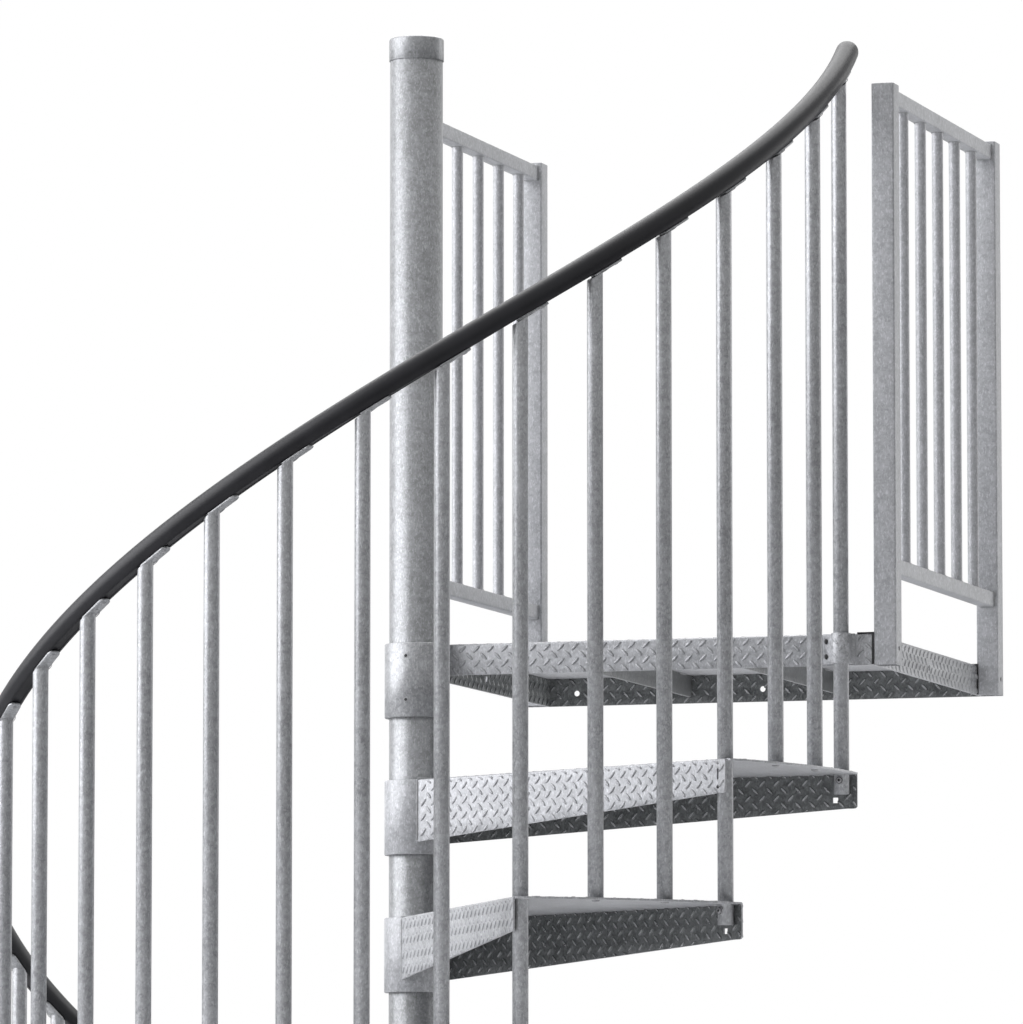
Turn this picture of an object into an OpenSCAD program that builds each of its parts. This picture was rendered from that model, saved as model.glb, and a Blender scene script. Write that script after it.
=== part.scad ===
// Spiral stair of galvanised steel: treads with sleeves stacked on a centre pole,
// round balusters, a continuous clad handrail, and a square landing with two guards.
// The origin is on the pole's axis, at the underside of the base plate. +X runs along
// the landing's front edge, +Y is the way off the landing, and +Z is up.
// The stair climbs anticlockwise as seen from above.

/* [Stair] */
// Rise from one tread to the next
rise = 228.6; // [190:0.1:240]
// Number of treads below the landing
tread_count = 12; // [9:1:12]
// Turn from one tread to the next, in degrees
tread_turn = 29.25; // [25:0.25:30]
// Spaces between balusters on each tread
spaces_per_tread = 3; // [2:1:4]
// Radius of the treads' outer edge
tread_r = 760; // [610:1:920]
// Distance of the balusters' circle, which is also the handrail's, inside that edge
baluster_inset = 24; // [20:1:34]

/* [Pole and base] */
// Outside diameter of the centre pole
pole_d = 88.9; // [76.1:0.1:101.6]
// Wall of the centre pole
pole_wall = 5.5; // [3.6:0.1:8]
// Height of the pole's top above the landing
pole_over_landing = 1023; // [950:1:1100]
// Height of the pole's cap
cap_h = 38; // [20:1:60]
// Wall of the pole's cap
cap_wall = 1.3; // [1:0.1:3]
// Side of the square base plate
base_side = 305; // [250:1:400]
// Thickness of the base plate
base_t = 12.7; // [8:0.1:20]
// Corner radius of the base plate
base_corner_r = 12; // [3:1:30]
// Distance of the base plate's bolt holes from its sides
base_hole_inset = 32.5; // [24:0.5:50]
// Diameter of the base plate's bolt holes
base_hole_d = 17.5; // [12:0.5:24]

/* [Treads] */
// Wall of a tread's hub
hub_wall = 7.25; // [5:0.05:12]
// Height of a tread's hub
hub_h = 124; // [100:1:160]
// Thickness of the tread plates and their flanges
plate_t = 3.2; // [2.5:0.1:6]
// How far a flange's face lies from the radial line beside it, at the hub
flange_set_at_hub = 34; // [25:1:41]
// Depth of the flanges at the hub
flange_h_at_hub = 103; // [80:1:120]
// Depth of the front flange at its outer end
front_flange_h = 55; // [45:1:75]
// Depth of the back flange at its outer end
back_flange_h = 59; // [45:1:75]
// How far the front flange stops short of the tread's outer edge
front_flange_cutback = 8; // [0:1:12]
// Length of the level stretch at a flange's outer end
flange_level_length = 18; // [8:1:40]
// Radius of a flange's lower outer corner
flange_corner_r = 5; // [1:0.5:10]
// Width of the adjusting slot in the front flange
slot_w = 4; // [3:0.5:8]
// Height of the adjusting slot in the front flange
slot_h = 18; // [10:1:25]
// Height of the adjusting slot's middle above the flange's lower edge
slot_up = 31; // [24:1:36]
// Diameter of the small hole under the slot
pilot_d = 6; // [4:0.5:8]
// Height of the small hole above the flange's lower edge
pilot_up = 10; // [7:1:16]
// Side of the square hole in the back flange
square_hole = 9; // [6:0.5:12]
// Height of the square hole above the flange's lower edge
square_hole_up = 14; // [9:1:30]
// Distance of the square hole inside the long baluster's axis
square_hole_inset = 14; // [8:1:25]

/* [Balusters and handrail] */
// Outside diameter of a baluster
baluster_d = 25.4; // [19:0.1:32]
// Wall of a baluster
baluster_wall = 1.6; // [1.2:0.1:3]
// How far a long baluster's end hangs below the top of the lower tread
baluster_drop = 36; // [20:1:44]
// Width of the flattened tongue at a baluster's top
tongue_w = 22; // [15:0.5:25]
// Thickness of the tongue
tongue_t = 3.6; // [2.4:0.1:5]
// Length of the tongue uphill of the baluster's axis
tongue_length = 42; // [25:1:60]
// Diameter of the handrail
rail_d = 38; // [32:0.5:50]
// How much is cut off the handrail's round to make its flat underside
rail_flat_cut = 3.5; // [2:0.5:6]
// Height of the handrail's centre over a tread's or the landing's front long baluster
rail_h = 935; // [850:1:1000]
// How far the handrail runs past the last baluster at each end, in degrees
rail_overrun = 6.3; // [4:0.1:8]

/* [Landing] */
// How far the landing's outer side lies outside the balusters' circle
landing_side = 52; // [35:1:120]
// Depth of the landing, front to back
landing_depth = 720; // [600:1:900]
// Height of the landing's skirts, with the deck
skirt_h = 52; // [45:1:90]
// Height of the ribs under the deck
rib_h = 38; // [25:1:45]
// Thickness of the ribs
rib_t = 5; // [3:0.5:10]
// Diameter of the holes in the skirts
skirt_hole_d = 10; // [8:0.5:16]
// Height of the holes' centres above the skirts' lower edge
skirt_hole_up = 22.3; // [12:0.1:30]
// Distance of the outer holes from the ends of the back skirt
skirt_hole_inset = 54; // [40:1:100]
// How much lower the saddle clamp on the top baluster is than the skirt
clamp_short = 2; // [1:1:8]
// Width of the saddle clamp's ear, which its bolts go through
clamp_ear = 17; // [12:0.5:25]
// Width of the lip on the saddle clamp's other side
clamp_lip = 5; // [3:0.5:12]
// Thickness of the saddle clamp
clamp_t = 3; // [2:0.1:5]
// Diameter of the saddle clamp's bolt holes
clamp_hole_d = 6.5; // [5:0.5:8]
// Distance between the saddle clamp's two bolt holes
clamp_hole_spacing = 25; // [16:1:30]
// From the saddle clamp's bolt holes to its ear's outer edge
clamp_hole_inset = 5; // [4:0.5:9]

/* [Guards] */
// Side of the square guard posts
post_w = 38.1; // [30:0.1:50]
// Wall of the guard posts
post_wall = 2; // [1.5:0.1:4]
// Height of the guard posts above the landing
post_over_landing = 912; // [850:1:1100]
// Side of the square guard rails
guard_rail_w = 25.4; // [20:0.1:30]
// Wall of the guard rails
guard_rail_wall = 1.6; // [1.2:0.1:3]
// How far the top rail lies below the tops of the posts
top_rail_drop = 6; // [4:1:40]
// Clear height under the bottom rail
bottom_rail_clear = 100; // [60:1:120]
// Outside diameter of the guards' bars
guard_bar_d = 19.05; // [12:0.05:22]
// Wall of the guards' bars
guard_bar_wall = 1.5; // [1:0.1:2]
// Distance between the bars of a guard, which stand centred between its posts
guard_bar_pitch = 114.3; // [90:0.1:120]

/* [Hidden] */
// Radial clearance of the hubs and the cap on the pole
pole_clear = 0.3;
// Clearance of a baluster in its holes and clamp, and against the landing's skirt
baluster_clear = 0.2;
// Clearance of a long baluster against the flanges beside it
flange_clear = 0.7;
// Clearance of the tongues under the handrail
rail_clear = 0.6;
// Clearance between the landing's hub and what stands beside it
hub_clear = 0.3;
// Length by which cutting shapes pass the faces they cut
past = 1;

hub_bore_r = pole_d / 2 + pole_clear;
hub_r = hub_bore_r + hub_wall;
baluster_circle_r = tread_r - baluster_inset;
baluster_r = baluster_d / 2;
baluster_hole_r = baluster_r + baluster_clear;
landing_z = rise * (tread_count + 1);
pole_top_z = landing_z + pole_over_landing;
landing_front_y = baluster_hole_r;
landing_back_y = landing_front_y + landing_depth;
landing_w = baluster_circle_r + landing_side;
baluster_turn = tread_turn / spaces_per_tread;

// The flange's outer face runs from beside the hub to just outside the long baluster
flange_set_at_end = baluster_r + flange_clear + plate_t;
flange_lean = atan((flange_set_at_hub - flange_set_at_end) / baluster_circle_r);

// Slope of the handrail, and the height of its centre at an angle round the pole
rail_slope = atan(rise / (baluster_circle_r * tread_turn * PI / 180));
rail_flat = rail_d / 2 - rail_flat_cut;
function rail_z(turn) = landing_z + rail_h + rise * turn / tread_turn;

// Treads and their balusters are numbered from the floor up
function tread_top(k) = rise * k;
function tread_angle(k) = -tread_turn * (tread_count + 1 - k);
function numbered(name, k) = str(name, "_", k < 10 ? "0" : "", k);

// Colours
steel = [0.70, 0.71, 0.73];
steel_dark = [0.55, 0.56, 0.58];
vinyl = [0.12, 0.12, 0.13];

$fn = 64;

// A pipe standing on z = 0
module pipe(d, wall, h) {
    difference() {
        cylinder(d = d, h = h);
        translate([0, 0, -past])
            cylinder(d = d - 2 * wall, h = h + 2 * past);
    }
}

// A sleeve that slides down the pole, its top at z = 0
module hub() {
    translate([0, 0, -hub_h])
        pipe(2 * hub_r, hub_wall, hub_h);
}

module base_plate() {
    reach = base_side / 2 - base_corner_r;
    hole = base_side / 2 - base_hole_inset;
    color(steel)
        linear_extrude(base_t)
            difference() {
                union() {
                    square([base_side, 2 * reach], center = true);
                    square([2 * reach, base_side], center = true);
                    for (x = [-reach, reach], y = [-reach, reach])
                        translate([x, y])
                            circle(r = base_corner_r);
                }
                for (x = [-hole, hole], y = [-hole, hole])
                    translate([x, y])
                        circle(d = base_hole_d);
            }
}

module centre_pole() {
    color(steel)
        translate([0, 0, base_t])
            pipe(pole_d, pole_wall, pole_top_z - cap_wall - base_t);
}

module pole_cap() {
    inner_r = pole_d / 2 + pole_clear;
    color(steel)
        translate([0, 0, pole_top_z - cap_h])
            difference() {
                cylinder(r = inner_r + cap_wall, h = cap_h);
                translate([0, 0, -past])
                    cylinder(r = inner_r, h = cap_h - cap_wall + past);
            }
}

// The tread's plan between the outer faces of its flanges, wider than its outer edge
module tread_plan() {
    near = hub_bore_r / 2;
    far = tread_r + 4 * hub_r;
    polygon([front_edge(near), front_edge(far), back_edge(far), back_edge(near)]);
}

// Points on the outer faces of the front flange and of the back flange, its mirror image
function front_edge(x) = [x, x * tan(flange_lean) - flange_set_at_hub];
function back_edge(x) =
    let (p = front_edge(x))
    [
        p[0] * cos(tread_turn) + p[1] * sin(tread_turn),
        p[0] * sin(tread_turn) - p[1] * cos(tread_turn)
    ];

// A flange seen square on: x runs out from the hub, y = 0 is the tread's top
module flange_outline(end_x, end_h) {
    start_x = (hub_bore_r + sqrt(pow(hub_r, 2) - pow(flange_set_at_hub, 2))) / 2;
    union() {
        polygon([
            [start_x, -plate_t],
            [end_x, -plate_t],
            [end_x, -end_h + flange_corner_r],
            [end_x - flange_corner_r, -end_h],
            [end_x - flange_level_length, -end_h],
            [hub_r, -flange_h_at_hub],
            [start_x, -flange_h_at_hub]
        ]);
        translate([end_x - flange_corner_r, -end_h + flange_corner_r])
            circle(r = flange_corner_r);
    }
}

// Places children, drawn in the flange's own outline, in the tread's front flange
module on_front_edge() {
    translate([0, -flange_set_at_hub, 0])
        rotate([0, 0, flange_lean])
            rotate([90, 0, 0])
                translate([0, 0, -plate_t])
                    linear_extrude(plate_t)
                        children();
}

module on_back_edge() {
    rotate([0, 0, tread_turn])
        mirror([0, 1, 0])
            on_front_edge()
                children();
}

module slot_outline() {
    reach = (slot_h - slot_w) / 2;
    square([slot_w, 2 * reach], center = true);
    for (y = [-reach, reach])
        translate([0, y])
            circle(d = slot_w);
}

// A tread with its front long baluster on the x axis, its top at z = 0
module tread_shape() {
    square_hole_x = baluster_circle_r - square_hole_inset;
    difference() {
        union() {
            hub();
            translate([0, 0, -plate_t])
                intersection() {
                    cylinder(r = tread_r, h = plate_t, $fn = 180);
                    linear_extrude(plate_t)
                        tread_plan();
                }
            on_front_edge()
                difference() {
                    flange_outline(tread_r - front_flange_cutback, front_flange_h);
                    translate([baluster_circle_r, slot_up - front_flange_h])
                        slot_outline();
                    translate([baluster_circle_r, pilot_up - front_flange_h])
                        circle(d = pilot_d);
                }
            on_back_edge()
                difference() {
                    flange_outline(tread_r - past, back_flange_h);
                    translate([square_hole_x, square_hole_up - back_flange_h])
                        square(square_hole, center = true);
                }
        }
        translate([0, 0, -hub_h - past])
            cylinder(r = hub_bore_r, h = hub_h + 2 * past);
        for (turn = [0, tread_turn])
            rotate([0, 0, turn])
                translate([baluster_circle_r, 0, -plate_t - past])
                    cylinder(r = baluster_hole_r, h = plate_t + 2 * past);
    }
}

module tread(k) {
    color(steel)
        translate([0, 0, tread_top(k)])
            rotate([0, 0, tread_angle(k)])
                tread_shape();
}

// A baluster that stands at an angle round the pole, from bottom_z up to the handrail.
// Its top end is flattened into a tongue, which lies along the handrail's underside.
module baluster(turn, bottom_z) {
    tongue_top = -rail_flat - rail_clear;
    cut = tongue_top - tongue_t / 2;
    reach = baluster_r / cos(rail_slope);
    rotate([0, 0, turn])
        translate([baluster_circle_r, 0, 0]) {
            difference() {
                translate([0, 0, bottom_z])
                    pipe(baluster_d, baluster_wall, rail_z(turn) - bottom_z);
                translate([0, 0, rail_z(turn)])
                    rotate([rail_slope, 0, 0])
                        translate([-baluster_d, -2 * baluster_d, cut])
                            cube([2 * baluster_d, 4 * baluster_d, 3 * baluster_d]);
            }
            translate([0, 0, rail_z(turn)])
                rotate([rail_slope, 0, 0])
                    translate([-tongue_w / 2, -reach, tongue_top - tongue_t])
                        cube([tongue_w, reach + tongue_length, tongue_t]);
        }
}

// The long baluster at a tread's front and the shorter ones along its outer edge.
// The first long one stands on the floor, the others hang from the tread below.
module balusters(k) {
    long_bottom = k == 1 ? 0 : tread_top(k - 1) - baluster_drop;
    color(steel) {
        baluster(tread_angle(k), long_bottom);
        for (i = [1:spaces_per_tread - 1])
            baluster(tread_angle(k) + i * baluster_turn, tread_top(k));
    }
}

module landing_baluster() {
    color(steel)
        baluster(0, tread_top(tread_count) - baluster_drop);
}

module baluster_clamp() {
    outer_r = baluster_hole_r + clamp_t;
    clamp_h = skirt_h - clamp_short;
    ear_x = -outer_r - clamp_ear;
    clamp_w = outer_r + clamp_lip - ear_x;
    color(steel_dark)
        translate([baluster_circle_r, 0, landing_z - clamp_h])
            difference() {
                linear_extrude(clamp_h)
                    difference() {
                        union() {
                            circle(r = outer_r);
                            translate([-outer_r, 0])
                                square([2 * outer_r, landing_front_y]);
                            translate([ear_x, landing_front_y - clamp_t])
                                square([clamp_w, clamp_t]);
                        }
                        circle(r = baluster_hole_r);
                        translate([-baluster_hole_r, 0])
                            square([2 * baluster_hole_r, landing_front_y + past]);
                        translate([-outer_r - past, landing_front_y])
                            square([2 * (outer_r + past), outer_r]);
                    }
                for (z = [-1, 1])
                    translate([ear_x + clamp_hole_inset, 0, clamp_h / 2 + z * clamp_hole_spacing / 2])
                        rotate([-90, 0, 0])
                            cylinder(d = clamp_hole_d, h = landing_front_y + past);
            }
}

// The handrail: an outline swept up the helix, its ends rounded off
RAIL_SIDES = 16;
RAIL_STEP = 3;
rail_start = tread_angle(1) - rail_overrun;
rail_end = rail_overrun;
rail_round = atan(rail_d / 2 * cos(rail_slope) / baluster_circle_r);
rail_mid_steps = ceil((rail_end - rail_start - 2 * rail_round) / RAIL_STEP);
rail_mid_step = (rail_end - rail_start - 2 * rail_round) / rail_mid_steps;

// Stations along the handrail: angle round the pole, and how far the outline is full
rail_stations = concat(
    [for (a = [80, 50, 25]) [rail_start + rail_round * (1 - sin(a)), cos(a)]],
    [for (i = [0:rail_mid_steps]) [rail_start + rail_round + i * rail_mid_step, 1]],
    [for (a = [25, 50, 80]) [rail_end - rail_round * (1 - sin(a)), cos(a)]]
);
rail_outline = [
    for (i = [0:RAIL_SIDES - 1])
        let (a = 360 * (i + 0.5) / RAIL_SIDES)
        [rail_d / 2 * cos(a), max(rail_d / 2 * sin(a), -rail_flat)]
];
function rail_point(station, p) =
    let (
        turn = station[0],
        r = baluster_circle_r + p[0] * station[1],
        v = p[1] * station[1]
    )
    [
        r * cos(turn) + v * sin(turn) * sin(rail_slope),
        r * sin(turn) - v * cos(turn) * sin(rail_slope),
        rail_z(turn) + v * cos(rail_slope)
    ];

module handrail() {
    count = len(rail_stations);
    points = [for (s = rail_stations, p = rail_outline) rail_point(s, p)];
    sides = [
        for (s = [0:count - 2], i = [0:RAIL_SIDES - 1])
            let (
                a = s * RAIL_SIDES + i,
                b = s * RAIL_SIDES + (i + 1) % RAIL_SIDES
            )
            each [[a, a + RAIL_SIDES, b], [b, a + RAIL_SIDES, b + RAIL_SIDES]]
    ];
    start_cap = [for (i = [0:RAIL_SIDES - 1]) i];
    end_cap = [for (i = [RAIL_SIDES - 1:-1:0]) (count - 1) * RAIL_SIDES + i];
    color(vinyl)
        polyhedron(points, concat(sides, [start_cap, end_cap]));
}

module landing_hub() {
    color(steel)
        translate([0, 0, landing_z])
            hub();
}

// The deck plate with the skirts that are bent down from it
module landing_deck() {
    inside_w = landing_w - 2 * plate_t;
    inside_depth = landing_depth - 2 * plate_t;
    color(steel)
        translate([0, landing_front_y, landing_z - skirt_h])
            difference() {
                cube([landing_w, landing_depth, skirt_h]);
                translate([plate_t, plate_t, -past])
                    cube([inside_w, inside_depth, skirt_h - plate_t + past]);
                translate([0, -landing_front_y, -past])
                    cylinder(r = hub_r + hub_clear, h = skirt_h + 2 * past);
                for (x = [skirt_hole_inset, landing_w / 2, landing_w - skirt_hole_inset])
                    translate([x, landing_depth - plate_t - past, skirt_hole_up])
                        rotate([-90, 0, 0])
                            cylinder(d = skirt_hole_d, h = plate_t + 2 * past);
                for (x = [-past, landing_w - plate_t - past])
                    translate([x, landing_depth / 2, skirt_hole_up])
                        rotate([0, 90, 0])
                            cylinder(d = skirt_hole_d, h = plate_t + 2 * past);
            }
}

module landing_rib(x) {
    color(steel)
        translate([x - rib_t / 2, landing_front_y + plate_t, landing_z - plate_t - rib_h])
            cube([rib_t, landing_depth - 2 * plate_t, rib_h]);
}

module landing_rib_left() {
    landing_rib(landing_w / 3);
}

module landing_rib_right() {
    landing_rib(landing_w * 2 / 3);
}

// A guard of two posts, two rails and upright bars, its inner face on x = 0, running
// along +y from y = 0. All its tubes open into one another inside.
module guard_shape(length, grow_in) {
    w = post_w - 2 * grow_in * post_wall;
    rail_w = guard_rail_w - 2 * grow_in * guard_rail_wall;
    bar_d = guard_bar_d - 2 * grow_in * guard_bar_wall;
    bottom = -skirt_h - grow_in * past;
    top = post_over_landing - grow_in * post_wall;
    rail_zs = [
        bottom_rail_clear + guard_rail_w / 2,
        post_over_landing - top_rail_drop - guard_rail_w / 2
    ];
    bars = round((length - post_w) / guard_bar_pitch) - 1;
    for (y = [post_w / 2, length - post_w / 2])
        translate([-w / 2, y - w / 2, bottom])
            cube([w, w, top - bottom]);
    for (z = rail_zs)
        translate([-rail_w / 2, post_w / 2, z - rail_w / 2])
            cube([rail_w, length - post_w, rail_w]);
    for (i = [1:bars])
        translate([0, length / 2 + (i - (bars + 1) / 2) * guard_bar_pitch, rail_zs[0]])
            cylinder(d = bar_d, h = rail_zs[1] - rail_zs[0]);
}

module guard(x, start_y) {
    length = landing_back_y - start_y;
    color(steel)
        translate([x, start_y, landing_z])
            difference() {
                guard_shape(length, 0);
                guard_shape(length, 1);
            }
}

// The left guard starts just behind the landing's hub
module guard_left() {
    guard(-post_w / 2, hub_r + hub_clear);
}

module guard_right() {
    guard(landing_w + post_w / 2, landing_front_y);
}

base_plate();
centre_pole();
pole_cap();
for (k = [1:tread_count]) {
    tread(k);
    balusters(k);
}
landing_baluster();
baluster_clamp();
handrail();
landing_hub();
landing_deck();
landing_rib_left();
landing_rib_right();
guard_left();
guard_right();
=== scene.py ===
"""Looks of a galvanised spiral stair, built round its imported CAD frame. Lengths are in metres."""
import math
import random

import bmesh
import bpy
from mathutils import Matrix, Vector

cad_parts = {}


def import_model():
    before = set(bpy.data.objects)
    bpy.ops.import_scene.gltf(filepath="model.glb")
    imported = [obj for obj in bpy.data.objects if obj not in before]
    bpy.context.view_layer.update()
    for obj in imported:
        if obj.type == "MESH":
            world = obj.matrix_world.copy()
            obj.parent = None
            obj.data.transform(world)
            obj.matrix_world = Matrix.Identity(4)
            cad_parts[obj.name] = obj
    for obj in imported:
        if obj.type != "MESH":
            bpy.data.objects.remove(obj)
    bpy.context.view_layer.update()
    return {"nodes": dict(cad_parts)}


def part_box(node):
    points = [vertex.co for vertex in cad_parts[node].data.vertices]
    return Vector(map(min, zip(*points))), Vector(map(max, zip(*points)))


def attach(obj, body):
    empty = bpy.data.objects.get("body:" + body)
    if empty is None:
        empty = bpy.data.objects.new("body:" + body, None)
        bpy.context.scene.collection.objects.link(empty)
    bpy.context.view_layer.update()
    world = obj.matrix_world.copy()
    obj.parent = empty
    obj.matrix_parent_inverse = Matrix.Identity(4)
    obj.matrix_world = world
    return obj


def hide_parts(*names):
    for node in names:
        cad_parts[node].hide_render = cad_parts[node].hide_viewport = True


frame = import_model()

MM = 0.001
TAU = math.tau

# ---------------------------------------------------------------- sizes that the frame gives
TREADS = [n for n in sorted(frame["nodes"]) if n.startswith("tread_")]
pole_low, pole_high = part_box("centre_pole")
cap_low, cap_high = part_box("pole_cap")
hub_low, hub_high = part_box("landing_hub")
tube_low, tube_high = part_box("landing_baluster")
deck_low, deck_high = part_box("landing_deck")
base_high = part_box("base_plate")[1]
clamp_low, clamp_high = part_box("baluster_clamp")

POLE_R = pole_high.x
HUB_R = hub_high.x
HUB_H = hub_high.z - hub_low.z
TUBE_R = (tube_high.x - tube_low.x) / 2
CIRCLE_R = (tube_high.x + tube_low.x) / 2
LANDING_Z = deck_high.z
RISE = LANDING_Z / (len(TREADS) + 1)
SKIRT_H = deck_high.z - deck_low.z

# ---------------------------------------------------------------- sizes of the modelled detail
TURN = math.radians(29.25)          # from one tread to the next
SPACES = 3                          # between balusters on each tread
TREAD_R = CIRCLE_R + 24 * MM
PLATE_T = 3.2 * MM
BEND_R = 3.6 * MM                   # outside radius where a plate is bent
FLANGE_SET = 34 * MM                # from the radial line to a flange's face, at the pole's axis
FLANGE_END_SET = TUBE_R + 0.7 * MM + PLATE_T        # the same at the baluster
FLANGE_LEAN = math.atan((FLANGE_SET - FLANGE_END_SET) / CIRCLE_R)
FLANGE_H_HUB = 103 * MM
FRONT_H, BACK_H = 55 * MM, 59 * MM
FRONT_END, BACK_END = TREAD_R - 8 * MM, TREAD_R - 1 * MM
LEVEL = 18 * MM                     # stretch of even depth at a flange's outer end
CORNER_R = 5 * MM
TUBE_WALL = 1.6 * MM
TUBE_DROP = 36 * MM                 # of a long baluster below the lower tread's top
RAIL_R = 19 * MM
RAIL_FLAT = 15.5 * MM               # from the handrail's middle to its flat underside
RAIL_H = 935 * MM                   # handrail's middle over a tread's top, at its front baluster
RAIL_OVERRUN = math.radians(6.3)
RAIL_SLOPE = math.atan(RISE / (CIRCLE_R * TURN))
TONGUE_W, TONGUE_T, TONGUE_L = 22 * MM, 3.6 * MM, 42 * MM
TONGUE_GAP = 0.6 * MM
PATTERN = 24.6 * MM                 # pitch of the raised pattern
LOZENGE_L, LOZENGE_W, LOZENGE_H = 18 * MM, 6.4 * MM, 1.7 * MM
TOP_LOZENGE_H = 0.8 * MM            # on treads and landing, worn by feet
POST_W = 38.1 * MM
GUARD_RAIL_W = 25.4 * MM
BAR_R = 9.525 * MM
BAR_PITCH = 114.3 * MM
TOP_RAIL_DROP = 6 * MM
SCREW_HOLE_R = 4.2 * MM
BOTTOM_RAIL_CLEAR = 100 * MM
SKIRT_HOLE_UP = 22.3 * MM
CLAMP_T, CLAMP_HOLE_INSET = 3 * MM, 5 * MM
HUB_BORE_R = POLE_R + 0.3 * MM
SLOT_UP, PILOT_UP = 31 * MM, 10 * MM    # holes over the front flange's lower edge
SLOT_R, SLOT_HALF, PILOT_R = 2 * MM, 7 * MM, 3 * MM
SQUARE_INSET, SQUARE_UP = 14 * MM, 14 * MM
BOLT_DROP = 13.8 * MM               # from a tread's top to the bolt of the baluster at its back
SET_SCREWS = (0.18, 0.77)           # how far down a hub they are, as shares of its height
SUNK = 0.1 * MM                     # how far the raised pattern's feet reach into the plate


def tread_top(k):
    return RISE * k


def tread_angle(k):
    """Where tread k's front baluster stands, round from the landing's."""
    return -TURN * (len(TREADS) + 1 - k)


def rail_z(turn):
    """Height of the handrail's middle."""
    return LANDING_Z + RAIL_H + RISE * turn / TURN


def polar(r, turn, z=0.0):
    return r * math.cos(turn), r * math.sin(turn), z


def in_mm(*points):
    return [tuple(v * MM for v in point) for point in points]


# ---------------------------------------------------------------- materials
def new_material(name):
    material = bpy.data.materials.new(name)
    material.use_nodes = True
    tree = material.node_tree
    return material, tree, tree.nodes["Principled BSDF"]


def add(tree, kind, inputs=None, **settings):
    """Adds a node. An input is given as a value or as another node's output."""
    node = tree.nodes.new("ShaderNode" + kind)
    for name, value in settings.items():
        setattr(node, name, value)
    for name, value in (inputs or {}).items():
        socket = node.inputs[name]
        if isinstance(value, bpy.types.NodeSocket):
            tree.links.new(value, socket)
        else:
            socket.default_value = value
    return node


def maths(tree, operation, a, b):
    return add(tree, "Math", {0: a, 1: b}, operation=operation).outputs[0]


def blend_colours(tree, factor, a, b):
    node = add(tree, "Mix", {"Factor": factor}, data_type="RGBA")
    for socket, value in ((node.inputs[6], a), (node.inputs[7], b)):
        if isinstance(value, bpy.types.NodeSocket):
            tree.links.new(value, socket)
        else:
            socket.default_value = (*value, 1)
    return node.outputs[2]


def cells(tree, place, size):
    """A random grey from 0 to 1 for each crystal of about this size."""
    node = add(tree, "TexVoronoi", {"Vector": place, "Scale": 1 / size})
    return add(tree, "SeparateColor", {"Color": node.outputs["Color"]}).outputs[0]


def clouds(tree, place, size, detail=3.0):
    """Soft noise with patches of about this size."""
    node = add(tree, "TexNoise", {"Vector": place, "Scale": 1 / size, "Detail": detail})
    return node.outputs["Fac"]


def stretch(tree, value, low, high, to_low=0.0, to_high=1.0):
    """Maps low to high onto another range, and holds what lies outside at its ends."""
    limits = {"From Min": low, "From Max": high, "To Min": to_low, "To Max": to_high}
    return add(tree, "MapRange", {"Value": value, **limits}).outputs["Result"]


def dashes(tree, place, turn, size):
    """Scattered short strokes: 1 in the middle of each and 0 between them."""
    lean = add(tree, "Mapping", {"Vector": place, "Rotation": turn, "Scale": (1.0, 1.0, 0.35)})
    return stretch(tree, clouds(tree, lean.outputs[0], size, 1.0), 0.60, 0.72)


def galvanised(name, dark, light, metallic=0.4, roughness=(0.32, 0.42), flecks=0.42):
    """Hot dip zinc: crystals of two sizes, slow clouds, short pale strokes and slight lumps."""
    material, tree, shader = new_material(name)
    place = add(tree, "TexCoord").outputs["Object"]
    warp = add(tree, "TexNoise", {"Vector": place, "Scale": 120.0, "Detail": 2.0}).outputs["Color"]
    push = add(tree, "VectorMath", {0: warp, "Scale": 6 * MM}, operation="SCALE").outputs[0]
    warped = add(tree, "VectorMath", {0: place, 1: push}, operation="ADD").outputs[0]
    coarse = cells(tree, warped, 8 * MM)
    fine = cells(tree, warped, 3.2 * MM)
    cloud = stretch(tree, clouds(tree, place, 0.07), 0.32, 0.68)
    tone = maths(tree, "ADD", maths(tree, "MULTIPLY", coarse, 0.36),
                 maths(tree, "MULTIPLY", fine, 0.44))
    tone = maths(tree, "ADD", tone, maths(tree, "MULTIPLY", cloud, 0.20))
    colour = blend_colours(tree, tone, dark, light)
    strokes = maths(tree, "MAXIMUM", dashes(tree, place, (0.5, 0.3, 0.0), 2.4 * MM),
                    dashes(tree, place, (-0.9, 0.8, 0.4), 3.0 * MM))
    strokes = maths(tree, "MULTIPLY", strokes, flecks)
    colour = blend_colours(tree, strokes, colour, tuple(min(1.0, 1.45 * c) for c in light))
    tree.links.new(colour, shader.inputs["Base Color"])
    tree.links.new(stretch(tree, tone, 0.2, 0.8, *roughness), shader.inputs["Roughness"])
    shader.inputs["Metallic"].default_value = metallic
    shader.inputs["Specular IOR Level"].default_value = 0.12
    lumps = clouds(tree, place, 9 * MM, 4.0)
    bump = add(tree, "Bump", {"Strength": 0.045, "Distance": 0.5 * MM, "Height": lumps})
    tree.links.new(bump.outputs["Normal"], shader.inputs["Normal"])
    return material


def vinyl_material():
    """Black extruded vinyl: satin, with faint tone clouds and handling marks."""
    material, tree, shader = new_material("black_vinyl")
    place = add(tree, "TexCoord").outputs["Object"]
    tone = stretch(tree, clouds(tree, place, 0.05), 0.3, 0.7)
    scuff = clouds(tree, place, 4 * MM, 5.0)
    colour = blend_colours(tree, tone, (0.009, 0.009, 0.011), (0.015, 0.015, 0.018))
    tree.links.new(colour, shader.inputs["Base Color"])
    tree.links.new(stretch(tree, scuff, 0.3, 0.7, 0.40, 0.47), shader.inputs["Roughness"])
    shader.inputs["Specular IOR Level"].default_value = 0.25
    bump = add(tree, "Bump", {"Strength": 0.08, "Distance": 0.2 * MM, "Height": scuff})
    tree.links.new(bump.outputs["Normal"], shader.inputs["Normal"])
    return material


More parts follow.
